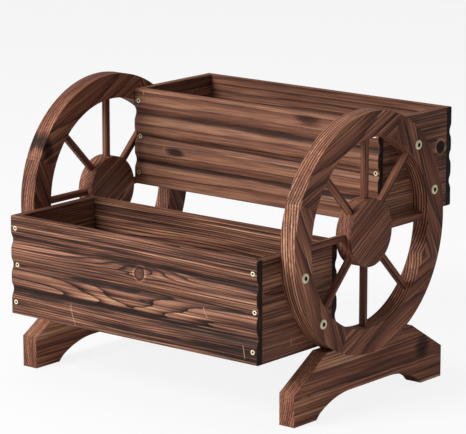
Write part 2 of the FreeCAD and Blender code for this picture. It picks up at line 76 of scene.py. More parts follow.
class Hand(Enum):
    """The two ends of the cart, as seen from the front."""

    LEFT = -1
    RIGHT = 1

    @property
    def label(self) -> str:
        """The word that starts the names of this end's nodes."""
        return self.name.lower()

    @property
    def outward(self) -> Vector:
        """The way out of the cart at this end."""
        return X_AXIS * self.value


class Level(Enum):
    """The two planter boxes."""

    LOWER = "lower"
    UPPER = "upper"


# ------------------------------------------------------------------ shading


class Signal:
    """A shader socket that carries a number; arithmetic on it adds Math nodes."""

    def __init__(self, graph: "Graph", socket: bpy.types.NodeSocket) -> None:
        """Wrap a socket of a graph."""
        self.graph = graph
        self.socket = socket

    def math(self, operation: str, *values: "Signal | Number") -> "Signal":
        """Add a Math node.

        Args:
            operation: the node's operation.
            values: its inputs, in order.

        Returns:
            The node's result.
        """
        made = self.graph.add("ShaderNodeMath", {"operation": operation}, dict(enumerate(values)))
        return Signal(self.graph, made.outputs[0])

    def __add__(self, other: "Signal | Number") -> "Signal":
        """Add."""
        return self.math("ADD", self, other)

    __radd__ = __add__

    def __mul__(self, other: "Signal | Number") -> "Signal":
        """Multiply."""
        return self.math("MULTIPLY", self, other)

    __rmul__ = __mul__

    def __sub__(self, other: "Signal | Number") -> "Signal":
        """Subtract."""
        return self.math("SUBTRACT", self, other)

    def __rsub__(self, other: Number) -> "Signal":
        """Subtract this from a number."""
        return self.math("SUBTRACT", other, self)

    def __truediv__(self, other: "Signal | Number") -> "Signal":
        """Divide."""
        return self.math("DIVIDE", self, other)

    def __rtruediv__(self, other: Number) -> "Signal":
        """Divide a number by this."""
        return self.math("DIVIDE", other, self)

    def __pow__(self, power: Number) -> "Signal":
        """Raise to a power."""
        return self.math("POWER", self, power)

    def __abs__(self) -> "Signal":
        """Drop the sign."""
        return self.math("ABSOLUTE", self)

    def __mod__(self, step: Number) -> "Signal":
        """Wrap round at a step."""
        return self.math("WRAP", self, step, 0.0)

    def least(self, other: "Signal | Number") -> "Signal":
        """Take the smaller."""
        return self.math("MINIMUM", self, other)

    def clamped(self) -> "Signal":
        """Keep between 0 and 1."""
        return self.math("MAXIMUM", self.least(1.0), 0.0)

    def ease(self, low: Number, high: Number) -> "Signal":
        """Ease from 0 to 1.

        Args:
            low: where the result is 0.
            high: where it is 1; it may be the smaller of the two.

        Returns:
            The eased value.
        """
        ends = {"From Min": low, "From Max": high}
        if low > high:
            ends = {"From Min": high, "From Max": low, "To Min": 1.0, "To Max": 0.0}
        settings = {"interpolation_type": "SMOOTHSTEP"}
        made = self.graph.add("ShaderNodeMapRange", settings, {"Value": self, **ends})
        return Signal(self.graph, made.outputs[0])


class Graph:
    """A node tree being filled."""

    def __init__(self, tree: bpy.types.NodeTree) -> None:
        """Start from an empty tree."""
        self.tree = tree
        tree.nodes.clear()

    @classmethod
    def of_material(cls, name: str) -> tuple["Graph", bpy.types.Material]:
        """Make a material and the graph that fills it.

        Args:
            name: the material's name.

        Returns:
            The graph and the material.
        """
        material = bpy.data.materials.new(name)
        material.use_nodes = True
        return cls(material.node_tree), material

    def add(
        self, kind: str, settings: dict[str, Any] | None = None, inputs: dict | None = None
    ) -> bpy.types.Node:
        """Add a node of any kind.

        Args:
            kind: the node's type.
            settings: its properties, set first; stops fills a colour ramp.
            inputs: values or links of its sockets, by name or place.

        Returns:
            The node.
        """
        made = self.tree.nodes.new(kind)
        for key, value in (settings or {}).items():
            if key == "stops":
                self._fill(made.color_ramp, value)
            else:
                setattr(made, key, value)
        for key, value in (inputs or {}).items():
            if isinstance(value, Signal):
                value = value.socket
            if isinstance(value, bpy.types.NodeSocket):
                self.tree.links.new(value, made.inputs[key])
            else:
                made.inputs[key].default_value = value
        return made

    @staticmethod
    def _fill(ramp: bpy.types.ColorRamp, stops: Sequence[tuple[float, Colour]]) -> None:
        """Give a colour ramp its stops.

        Args:
            ramp: the ramp, which comes with two.
            stops: the place and colour of each.
        """
        while len(ramp.elements) < len(stops):
            ramp.elements.new(1.0)
        for element, (place, colour) in zip(ramp.elements, stops):
            element.position = place
            element.color = colour

    def noise(self, vector: bpy.types.NodeSocket, scale: float = 1.0, detail: float = 2.0) -> Signal:
        """Add a noise, from about -0.5 to 0.5.

        Args:
            vector: the coordinates.
            scale: its scale in them.
            detail: its octaves.

        Returns:
            The noise round zero.
        """
        inputs = {"Vector": vector, "Scale": scale, "Detail": detail}
        return Signal(self, self.add("ShaderNodeTexNoise", None, inputs).outputs[0]) - 0.5

    def stretched(
        self, vector: bpy.types.NodeSocket, stretch: Sequence[float], shift: float
    ) -> bpy.types.NodeSocket:
        """Scale coordinates along each axis and shift them.

        Args:
            vector: the coordinates.
            stretch: the three scales.
            shift: how far they move, so that pieces differ.

        Returns:
            The new coordinates.
        """
        inputs = {0: vector, 1: tuple(stretch), 2: (shift, shift * 1.7, shift * 0.6)}
        return self.add("ShaderNodeVectorMath", {"operation": "MULTIPLY_ADD"}, inputs).outputs[0]

    def mix(self, factor: Signal | float, under: Any, over: Any, blend: str = "MIX") -> bpy.types.NodeSocket:
        """Mix two colours.

        Args:
            factor: how much of the second shows.
            under, over: the colours, as values or sockets.
            blend: the way they mix.

        Returns:
            The mixed colour.
        """
        settings = {"data_type": "RGBA", "blend_type": blend}
        return self.add("ShaderNodeMix", settings, {0: factor, 6: under, 7: over}).outputs[2]

    def close(self, surface: bpy.types.Node, kind: str = "Material") -> None:
        """Put a shader on the tree's output."""
        self.add(f"ShaderNodeOutput{kind}", None, {"Surface": surface.outputs[0]})


# ------------------------------------------------------------------- timber


@dataclass(frozen=True)
class Spot:
    """A point of a piece in the piece's own axes, and how uneven the wood is there.

    Face is 1 on the broad faces and 0 on the edges; fibre and fray vary round zero.
    """

    own: bpy.types.NodeSocket
    along: Signal
    across: Signal
    out: Signal
    face: Signal
    fibre: Signal
    fray: Signal


@dataclass(frozen=True)
class Knot:
    """A knot that the grain flows round: a dark core in a pale collar."""

    along: float
    across: float
    radius: float
    reach: float = 0.05
    core: float = 0.3
    rim: float = 0.22
    collar: float = 0.22

    def bend(self, spot: Spot) -> Signal:
        """Push the grain aside.

        Args:
            spot: the point.

        Returns:
            How far across it is pushed.
        """
        run = (spot.along - self.along) * (self.radius / self.reach)
        rise = spot.across - self.across
        return rise * self.radius**2 / (run * run + rise * rise + self.radius**2 * 0.5)

    def char(self, tone: Signal, spot: Spot) -> Signal:
        """Put the core, its dark rim and the collar into the tone.

        Args:
            tone: the tone without the knot, from 0 for charred to 1 for pale.
            spot: the point.

        Returns:
            The tone with it.
        """
        run, rise = spot.along - self.along, spot.across - self.across
        spread = (run * run + rise * rise) ** 0.5 / self.radius + spot.fray * 0.3
        core = spread.ease(1.02, 0.9)
        rim = spread.ease(0.6, 0.85) * core
        collar = spread.ease(0.95, 1.1) * spread.ease(1.45, 1.15)
        inside = core * (spot.fray * 0.8 + self.core)
        return tone * (1 - core) + inside - rim * self.rim + collar * self.collar


@dataclass(frozen=True)
class Scorch:
    """A burnt band along the grain; slope is how it climbs along the piece."""

    across: float
    width: float
    strength: float
    slope: float = 0.0

    def char(self, tone: Signal, spot: Spot) -> Signal:
        """Darken the tone within the band, with frayed edges."""
        off = abs(spot.across - self.across - spot.along * self.slope + spot.fray * self.width * 1.6)
        return tone - off.ease(self.width, self.width * 0.2) * (spot.fray * 1.2 + 1) * self.strength


@dataclass(frozen=True)
class Blotch:
    """A burnt patch."""

    along: float
    across: float
    length: float
    width: float
    strength: float = 0.5

    def char(self, tone: Signal, spot: Spot) -> Signal:
        """Darken the tone within the patch.

        Args:
            tone: the tone without the patch.
            spot: the point.

        Returns:
            The tone with it.
        """
        run = (spot.along - self.along) / self.length
        rise = (spot.across - self.across) / self.width
        spread = (run * run + rise * rise) ** 0.5 + spot.fray * 1.1
        return tone - spread.ease(1.0, 0.2) * self.strength


Burn = Knot | Scorch | Blotch


@dataclass(frozen=True)
class Scratch:
    """A pale scratch or rub, as a short line on the face."""

    start: tuple[float, float]
    end: tuple[float, float]
    width: float = 1.3 * MM
    strength: float = 0.6

    def mask(self, spot: Spot) -> Signal:
        """Say where the scratch shows.

        Args:
            spot: the point.

        Returns:
            How much of the scratch shows there.
        """
        start, end = Vector(self.start), Vector(self.end)
        length = (end - start).length
        way = (end - start) / length
        along, across = spot.along - start.x, spot.across - start.y
        run = along * way.x + across * way.y
        off = abs(across * way.x - along * way.y + spot.fray * 2 * MM)
        ends = run.ease(0, length * 0.2) * run.ease(length, length * 0.8)
        return off.ease(self.width, self.width * 0.3) * ends * (spot.fray + 1) * self.strength


@dataclass(frozen=True)
class Timber:
    """How a piece was cut from the log: its own axes, and where the heart lies in them."""

    origin: Vector
    along: Vector
    across: Vector
    seed: float
    heart: tuple[float, float] = (0.0, -0.04)
    bulge: float = 0.0
    bulge_reach: float = 0.12
    shade: float = 0.0
    half_length: float = 1.0
    cove_face: float | None = None
    burns: tuple[Burn, ...] = ()
    scratches: tuple[Scratch, ...] = ()

    @property
    def outward(self) -> Vector:
        """The way out of the piece's broad face."""
        return self.along.cross(self.across)

    def turn(self) -> Triple:
        """The turn from the piece's own axes to the frame's, as Euler angles."""
        columns = Matrix((self.along, self.across, self.outward)).transposed()
        return tuple(columns.to_euler())


@dataclass(frozen=True)
class BurntFir:
    """Fir that was burnt and brushed: brown between dark rings, with charred bands.

    Tones run from 0 for charred to 1 for pale. Young is the distance from the heart
    where the rings are as wide as ring says; they narrow outwards. The stretches are
    scales of noise along, across and out of the piece.
    """

    char: Colour = srgb(36, 23, 18)
    dark: Colour = srgb(79, 49, 38)
    middle: Colour = srgb(126, 84, 66)
    light: Colour = srgb(172, 124, 96)
    pale: Colour = srgb(216, 174, 140)
    tone: float = 0.5
    ring: float = 2.9 * MM
    ring_depth: float = 0.78
    ring_jitter: float = 0.16
    crispness: float = 4.5
    edge_gain: float = 0.3
    band_depth: float = 1.0
    streak_depth: float = 1.8
    streak_length: float = 2.4
    streak_width: float = 260
    fibre_depth: float = 0.6
    fibre_stretch: Triple = (12, 330, 330)
    fray_stretch: Triple = (9, 60, 60)
    patch_depth: float = 0.7
    patch_stretch: Triple = (3, 20, 20)
    young: float = 50 * MM
    wave: float = 4 * MM
    wave_stretch: Triple = (4, 14, 14)
    # How much darker it gets deep in the coves: char left in the hollows, and painted shade of the hollows
    # as well.
    cove_char_and_shade: float = 0.12
    end_char: float = 0.55
    ash: float = 0.5
    ash_tint: Colour = (0.8, 0.92, 0.98, 1)
    ash_stretch: Triple = (6, 45, 45)
    roughness: float = 0.6
    specular: float = 0.16

    def dress(self, name: str, timber: Timber) -> bpy.types.Material:
        """Make the material of one piece.

        Args:
            name: the piece's name.
            timber: how the piece was cut.

        Returns:
            The material.
        """
        graph, material = Graph.of_material(f"burnt_fir.{name}")
        spot = self._spot(graph, timber)
        late, band = self._rings(graph, timber, spot)
        tone = self._tone(graph, timber, spot, late, band)
        height = spot.fibre * 0.5 + late
        bump = graph.add("ShaderNodeBump", None, {"Strength": 0.4, "Distance": 0.5 * MM, "Height": height})
        inputs = {
            "Base Color": self._colour(graph, timber, spot, tone),
            "Roughness": (self.roughness + spot.fibre * 0.25 - late * 0.1).clamped(),
            "Normal": bump.outputs[0],
            "Specular IOR Level": self.specular,
        }
        graph.close(graph.add("ShaderNodeBsdfPrincipled", None, inputs))
        return material

    def _spot(self, graph: Graph, timber: Timber) -> Spot:
        """Find a point's place in its piece.

        Args:
            graph: the node tree.
            timber: how the piece was cut.

        Returns:
            The point.
        """
        place = graph.add("ShaderNodeTexCoord").outputs
        inputs = {"Vector": place["Object"], "Location": tuple(timber.origin), "Rotation": timber.turn()}
        own = graph.add("ShaderNodeMapping", {"vector_type": "TEXTURE"}, inputs).outputs[0]
        parts = graph.add("ShaderNodeSeparateXYZ", None, {0: own}).outputs
        along, across, out = (Signal(graph, part) for part in parts)
        inputs = {0: place["Normal"], 1: tuple(timber.outward)}
        dot = graph.add("ShaderNodeVectorMath", {"operation": "DOT_PRODUCT"}, inputs)
        face = abs(Signal(graph, dot.outputs["Value"])).ease(0.3, 0.6)
        fibre = graph.noise(graph.stretched(own, self.fibre_stretch, timber.seed), 1.0, 2.5)
        fray = graph.noise(graph.stretched(own, self.fray_stretch, timber.seed + 5), 1.0, 3.0)
        return Spot(own, along, across, out, face, fibre, fray)

    def _radius(self, graph: Graph, timber: Timber, spot: Spot) -> Signal:
        """Measure how far from the log's heart a point is; the grain bends round knots.

        Args:
            graph: the node tree.
            timber: how the piece was cut.
            spot: the point.

        Returns:
            The distance.
        """
        across = spot.across
        for knot in timber.burns:
            if isinstance(knot, Knot):
                across = across - knot.bend(replace(spot, across=across))
        slow = graph.stretched(spot.own, self.wave_stretch, timber.seed)
        side = across - timber.heart[0] + graph.noise(slow, 1.0, 2.0) * self.wave
        sway = graph.noise(slow, 1.6, 1.5) * (self.wave * 0.9)
        far = spot.along * spot.along
        bow = far / (far + timber.bulge_reach**2) * timber.bulge
        depth = spot.out - timber.heart[1] + bow + sway
        return (side * side + depth * depth) ** 0.5

    def _rings(self, graph: Graph, timber: Timber, spot: Spot) -> tuple[Signal, Signal]:
        """Count the log's rings at a point.

        Args:
            graph: the node tree.
            timber: how the piece was cut.
            spot: the point.

        Returns:
            The dark late wood of each ring, and how whole rings differ, both round zero.
        """
        radius = self._radius(graph, timber, spot)
        count = (radius / self.young) ** 0.5 * (2 * self.young / self.ring) + spot.fibre * self.ring_jitter
        late = (count % 1.0) ** self.crispness - 1 / (self.crispness + 1)
        whole = graph.add("ShaderNodeCombineXYZ", None, {0: count * 0.36 + timber.seed, 1: spot.along * 1.3})
        return late, graph.noise(whole.outputs[0], 1.0, 3.0)

    def _tone(self, graph: Graph, timber: Timber, spot: Spot, late: Signal, band: Signal) -> Signal:
        """Work out how burnt a point is, with painted shade deep in the coves.

        Args:
            graph: the node tree.
            timber: how the piece was cut.
            spot: the point.
            late: the late wood.
            band: how whole rings differ.

        Returns:
            The tone, from 0 for charred to 1 for pale.
        """
        depth = spot.out + (spot.across - spot.out) * spot.face
        inputs = {0: spot.along * self.streak_length + timber.seed, 1: depth * self.streak_width}
        streaks = graph.add("ShaderNodeCombineXYZ", None, inputs)
        streak = graph.noise(streaks.outputs[0], 1.0, 4.0) * (spot.face * 0.4 + 0.6)
        patch = graph.noise(graph.stretched(spot.own, self.patch_stretch, timber.seed + 9), 1.0, 3.0)
        lines = late * (band * 1.2 + 1) * (1 + (1 - spot.face) * self.edge_gain) * self.ring_depth
        tone = self.tone + timber.shade - lines + band * self.band_depth
        tone = tone + spot.fibre * self.fibre_depth + streak * self.streak_depth + patch * self.patch_depth
        if timber.cove_face is not None:
            # Darker deep in each cove: char left in the hollow, and painted shade of the hollow as well.
            sunk = timber.cove_face - spot.out + spot.fray * 2 * MM
            tone = tone - sunk.ease(0.8 * MM, 4.5 * MM) * self.cove_char_and_shade
        end = timber.half_length
        tone = tone - abs(spot.along).ease(end - 1.2 * MM, end - 0.4 * MM) * self.end_char
        for burn in timber.burns:
            tone = burn.char(tone, spot)
        return tone

    def _colour(self, graph: Graph, timber: Timber, spot: Spot, tone: Signal) -> bpy.types.NodeSocket:
        """Colour a tone, with patches of grey ash and pale scratches over it.

        Args:
            graph: the node tree.
            timber: how the piece was cut.
            spot: the point.
            tone: how burnt it is.

        Returns:
            The colour.
        """
        steps = (self.char, self.dark, self.middle, self.light, self.pale)
        stops = [(index / (len(steps) - 1), colour) for index, colour in enumerate(steps)]
        colour = graph.add("ShaderNodeValToRGB", {"stops": stops}, {"Fac": tone.clamped()}).outputs[0]
        ash = graph.noise(graph.stretched(spot.own, self.ash_stretch, timber.seed + 13), 1.0, 2.0)
        colour = graph.mix(ash.ease(-0.05, 0.25) * self.ash, colour, self.ash_tint, "MULTIPLY")
        for scratch in timber.scratches:
            colour = graph.mix(scratch.mask(spot).clamped(), colour, self.pale)
        return colour


@dataclass(frozen=True)
class Plating:
    """Plated steel, a little uneven."""

    colour: Colour
    stain: Colour
    roughness: float = 0.4
    metallic: float = 0.15
    cloud_scale: float = 260
    grit_scale: float = 2400

    def dress(self, name: str) -> bpy.types.Material:
        """Make the material.

        Args:
            name: the material's name.

        Returns:
            The material.
        """
        graph, material = Graph.of_material(name)
        place = graph.add("ShaderNodeTexCoord").outputs["Object"]
        cloud = graph.noise(place, self.cloud_scale, 3.0)
        grit = graph.noise(place, self.grit_scale, 2.0)
        colour = graph.mix((cloud * 1.6 + 0.35).clamped(), self.colour, self.stain)
        bump = graph.add("ShaderNodeBump", None, {"Strength": 0.2, "Distance": 0.1 * MM, "Height": grit})
        inputs = {
            "Base Color": colour,
            "Metallic": self.metallic,
            "Roughness": (self.roughness + cloud * 0.3).clamped(),
            "Normal": bump.outputs[0],
        }
        graph.close(graph.add("ShaderNodeBsdfPrincipled", None, inputs))
        return material


BOX_FIR = BurntFir()
UPPER_FIR = replace(
    BOX_FIR, ring=10 * MM, ring_depth=0.3, band_depth=0.16, streak_depth=0.5, patch_depth=0.3, tone=0.53
)
SIDE_FIR = replace(
    BOX_FIR, ring=3.4 * MM, ring_depth=0.35, band_depth=0.6, streak_depth=1.0, patch_depth=0.5, tone=0.42
)
WHEEL_FIR = replace(
    BOX_FIR,
    middle=srgb(124, 77, 60),
    light=srgb(166, 113, 86),
    tone=0.45,
    ring=4.8 * MM,
    ring_depth=0.36,
    crispness=2.4,
    edge_gain=1.8,
    wave=2 * MM,
    band_depth=0.7,
    streak_depth=1.1,
    patch_depth=0.6,
    young=150 * MM,
    ash=0.3,
)
LEFT_WHEEL_FIR = replace(WHEEL_FIR, edge_gain=0.5)
HUB_FIR = replace(WHEEL_FIR, edge_gain=0.0, tone=0.46, ring_depth=0.5)
SPOKE_FIR = replace(WHEEL_FIR, ring=3 * MM, tone=0.44, young=30 * MM)
FOOT_FIR = replace(
    WHEEL_FIR, tone=0.57, end_char=0.1, ring=4.2 * MM, band_depth=0.5, patch_depth=0.35, edge_gain=0.5
)
FLOOR_FIR = replace(BOX_FIR, tone=0.6, end_char=0.1, band_depth=0.3)
BRASSED = Plating(srgb(252, 246, 214), srgb(222, 208, 156))
ZINC = Plating(srgb(186, 188, 186), srgb(140, 140, 136), metallic=0.6)
# Painted shade: a dark colour inside the screw recesses and bolt sockets, where shade falls, not a plating
# of their own.
RECESS_SHADE = Plating(srgb(44, 36, 30), srgb(22, 20, 18), roughness=0.7, metallic=0.2)


# ------------------------------------------------------------------- pieces


def islands(node: str) -> Iterator[tuple[Vector, Vector]]:
    """Find the boxes of the separate solids in a node of the frame.

    Args:
        node: the node's name.

    Yields:
        The lowest and highest corner of each solid.
    """
    mesh = bmesh.new()
    mesh.from_mesh(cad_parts[node].data)
    bmesh.ops.remove_doubles(mesh, verts=mesh.verts, dist=0.001 * MM)
    seen = set()
    for first in mesh.verts:
        if first in seen:
            continue
        seen.add(first)
        solid = [first]
        for corner in solid:
            fresh = {edge.other_vert(corner) for edge in corner.link_edges} - seen
            seen |= fresh
            solid += fresh
        places = [corner.co for corner in solid]
        yield Vector(map(min, zip(*places))), Vector(map(max, zip(*places)))
    mesh.free()


def clothe(node: str, material: bpy.types.Material, easing: float = 0.0) -> None:
    """Give a node of the frame its material, and ease its edges.

    Args:
        node: the node's name.
        material: what it is made of.
        easing: how far its edges are rounded.
    """
    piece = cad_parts[node]
    piece.data.materials.clear()
    piece.data.materials.append(material)
    if easing:
        bevel = piece.modifiers.new("easing", "BEVEL")
        bevel.width = easing
        bevel.segments = 2
        bevel.limit_method = "ANGLE"
        bevel.angle_limit = math.radians(40)
        bevel.harden_normals = True
    log.info("%s: %s", node, material.name)


def middle_of(node: str) -> Vector:
    """The centre of a node's box."""
    low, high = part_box(node)
    return (low + high) / 2


def half_of(node: str) -> Vector:
    """Half the size of a node's box."""
    low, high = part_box(node)
    return (high - low) / 2


@dataclass
class Wheel:
    """A cart wheel: four rim segments, a hub and eight spokes."""

    hand: Hand
    fir: BurntFir = WHEEL_FIR
    burns: dict[str, tuple[Burn, ...]] = field(default_factory=dict)
    shades: dict[str, float] = field(default_factory=dict)
    easing: float = 1.0 * MM
    segments: tuple[str, ...] = ("upper_rear", "upper_front", "lower_front", "lower_rear")
    spokes: tuple[str, ...] = (
        "rear", "upper_rear", "top", "upper_front", "front", "lower_front", "bottom", "lower_rear"
    )
    first_segment: float = 22.5
    hub_grain: float = 32.0
    seed: float = 3.0

    def radial(self, angle: float) -> Vector:
        """The way from the axis to the rim at an angle from the rear."""
        turn = math.radians(angle)
        return Vector((0, math.cos(turn), math.sin(turn)))

    def dress(self) -> None:
        """Give the rim, hub and spokes their grain."""
        label = self.hand.label
        side = self.hand.outward
        centre = middle_of(f"{label}_hub")
        seed = self.seed + self.hand.value
        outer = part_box(f"{label}_rim_upper_rear")[1].y - centre.y
        for index, name in enumerate(self.segments):
            across = self.radial(self.first_segment + 90 * index)
            timber = Timber(
                centre + across * outer * 0.9,
                across.cross(side),
                across,
                seed + index * 3.1,
                heart=(0.02, -0.2),
                bulge=0.006,
                shade=self.shades.get(name, 0.0),
                burns=self.burns.get(name, ()),
            )
            node = f"{label}_rim_{name}"
            clothe(node, self.fir.dress(node, timber), self.easing)
        grain = self.radial(self.hub_grain)
        timber = Timber(centre, grain, side.cross(grain), seed + 11, heart=(0.03, -0.045))
        clothe(f"{label}_hub", HUB_FIR.dress(f"{label}_hub", timber), self.easing)
        for index, name in enumerate(self.spokes):
            grain = self.radial(45 * index)
            node = f"{label}_spoke_{name}"
            across = side.cross(grain)
            timber = Timber(middle_of(node), grain, across, seed + 20 + index, heart=(0.012, -0.03))
            clothe(node, SPOKE_FIR.dress(node, timber))


@dataclass
class Foot:
    """The arched cradle foot under one wheel."""

    hand: Hand
    burns: tuple[Burn, ...] = ()
    easing: float = 1.0 * MM
    seed: float = 41.0

    def dress(self) -> None:
        """Give the foot its grain, from end to end."""
        node = f"{self.hand.label}_foot"
        side = self.hand.outward
        timber = Timber(
            middle_of(node),
            Z_AXIS.cross(side),
            Z_AXIS,
            self.seed + self.hand.value,
            heart=(0.01, -0.17),
            half_length=half_of(node).y,
            burns=self.burns,
        )
        clothe(node, FOOT_FIR.dress(node, timber), self.easing)


@dataclass(frozen=True)
class Board:
    """What sets one upright board of a box apart."""

    heart: tuple[float, float] = (0.03, -0.04)
    bulge: float = 0.003
    shade: float = 0.0
    burns: tuple[Burn, ...] = ()
    scratches: tuple[Scratch, ...] = ()


@dataclass
class Box:
    """A planter box: scalloped front and back, plain sides, cleats and floor."""

    level: Level
    seed: float
    boards: dict[str, Board] = field(default_factory=dict)
    easing: float = 0.8 * MM

    def dress(self) -> None:
        """Give each board its grain."""
        fir = BOX_FIR if self.level is Level.LOWER else UPPER_FIR
        self._board("front", -Y_AXIS, fir, scalloped=True)
        self._board("back", Y_AXIS, fir, scalloped=True)
        for hand in Hand:
            self._board(f"{hand.label}_side", hand.outward, SIDE_FIR)
            self._stick(f"{hand.label}_cleat", Y_AXIS)
        for place in ("floor_front", "floor_middle", "floor_rear"):
            self._stick(place, X_AXIS)

    def _board(self, place: str, outward: Vector, fir: BurntFir, scalloped: bool = False) -> None:
        """Dress an upright board.

        Args:
            place: where in the box it is.
            outward: the way its outer face looks.
            fir: its finish.
            scalloped: whether it has coves.
        """
        node = f"{self.level.value}_box_{place}"
        along = Z_AXIS.cross(outward)
        half = half_of(node)
        board = self.boards.get(place, Board())
        self.seed += 1.7
        timber = Timber(
            middle_of(node),
            along,
            Z_AXIS,
            self.seed,
            heart=board.heart,
            bulge=board.bulge,
            shade=board.shade,
            half_length=abs(half.dot(along)) if scalloped else 1.0,
            cove_face=abs(half.dot(outward)) if scalloped else None,
            burns=board.burns,
            scratches=board.scratches,
        )
        clothe(node, fir.dress(node, timber), self.easing)

    def _stick(self, place: str, along: Vector) -> None:
        """Dress a cleat or a slat.

        Args:
            place: where in the box it is.
            along: the way its grain runs.
        """
        node = f"{self.level.value}_box_{place}"
        self.seed += 1.7
        timber = Timber(
            middle_of(node),
            along,
            Z_AXIS.cross(along),
            self.seed,
            half_length=abs(half_of(node).dot(along)),
        )
        clothe(node, FLOOR_FIR.dress(node, timber), self.easing * 0.6)


# ----------------------------------------------------------------- hardware


@dataclass(frozen=True)
class Ring:
    """One ring of a turned or broached piece: how far out at each angle, and how high."""

    reach: Callable[[float], float]
    height: float
    material: int = 0


def round_of(radius: float) -> Callable[[float], float]:
    """A circle's reach."""
    return lambda angle: radius


def hexagon_of(width: float) -> Callable[[float], float]:
    """The reach of a hexagon with this width across its flats."""
    sixth = math.pi / 3
    return lambda angle: width / 2 / math.cos((angle + sixth / 2) % sixth - sixth / 2)


def cross_of(arm: float, width: float) -> Callable[[float], float]:
    """Draw a cross.

    Args:
        arm: how far its arms reach.
        width: how wide they are.

    Returns:
        Its reach at each angle.
    """
    quarter = math.pi / 2

    def reach(angle: float) -> float:
        """The cross's reach at an angle."""
        off = abs((angle + quarter / 2) % quarter - quarter / 2)
        return min(arm / math.cos(off), width / 2 / max(math.sin(off), 1e-6))

    return reach


@dataclass
class Lathe:
    """Builds small hardware, ring by ring, into one mesh."""

    steps: int = 48
    shape: bmesh.types.BMesh = field(default_factory=bmesh.new)

    def turn(self, spot: Vector, axis: Vector, rings: Sequence[Ring], bored: bool = False) -> None:
        """Join rings into a closed piece.

        Args:
            spot: where the height is zero.
            axis: the way that heights grow.
            rings: its rings, from the middle of its top over the rim to its foot.
            bored: whether a hole joins its last ring to its first.
        """
        turn = Z_AXIS.rotation_difference(axis)
        loops = []
        for ring in rings:
            loop = []
            for step in range(self.steps):
                angle = 2 * math.pi * step / self.steps
                reach = ring.reach(angle)
                point = Vector((reach * math.cos(angle), reach * math.sin(angle), ring.height))
                loop.append(self.shape.verts.new(spot + turn @ point))
            loops.append(loop)
        if bored:
            loops.append(loops[0])
        for ring, upper, lower in zip(rings, loops, loops[1:]):
            for step in range(self.steps):
                after = (step + 1) % self.steps
                face = self.shape.faces.new((upper[step], lower[step], lower[after], upper[after]))
                face.material_index = ring.material
        if not bored:
            self.shape.faces.new(reversed(loops[0])).material_index = rings[0].material
            self.shape.faces.new(loops[-1]).material_index = rings[-1].material

    def put(self, name: str, materials: Sequence[bpy.types.Material], node: str) -> None:
        """Hand the mesh over as a piece that stands for a node of the frame.

        Args:
            name: the piece's name.
            materials: its materials, in the order of the faces' indices.
            node: the node that it stands for.
        """
        bmesh.ops.recalc_face_normals(self.shape, faces=self.shape.faces)
        mesh = bpy.data.meshes.new(name)
        self.shape.to_mesh(mesh)
        self.shape.free()
        for material in materials:
            mesh.materials.append(material)
        piece = bpy.data.objects.new(name, mesh)
        bpy.context.scene.collection.objects.link(piece)
        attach(piece, "root")
        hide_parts(node)
        log.info("%s: stands for %s", name, node)


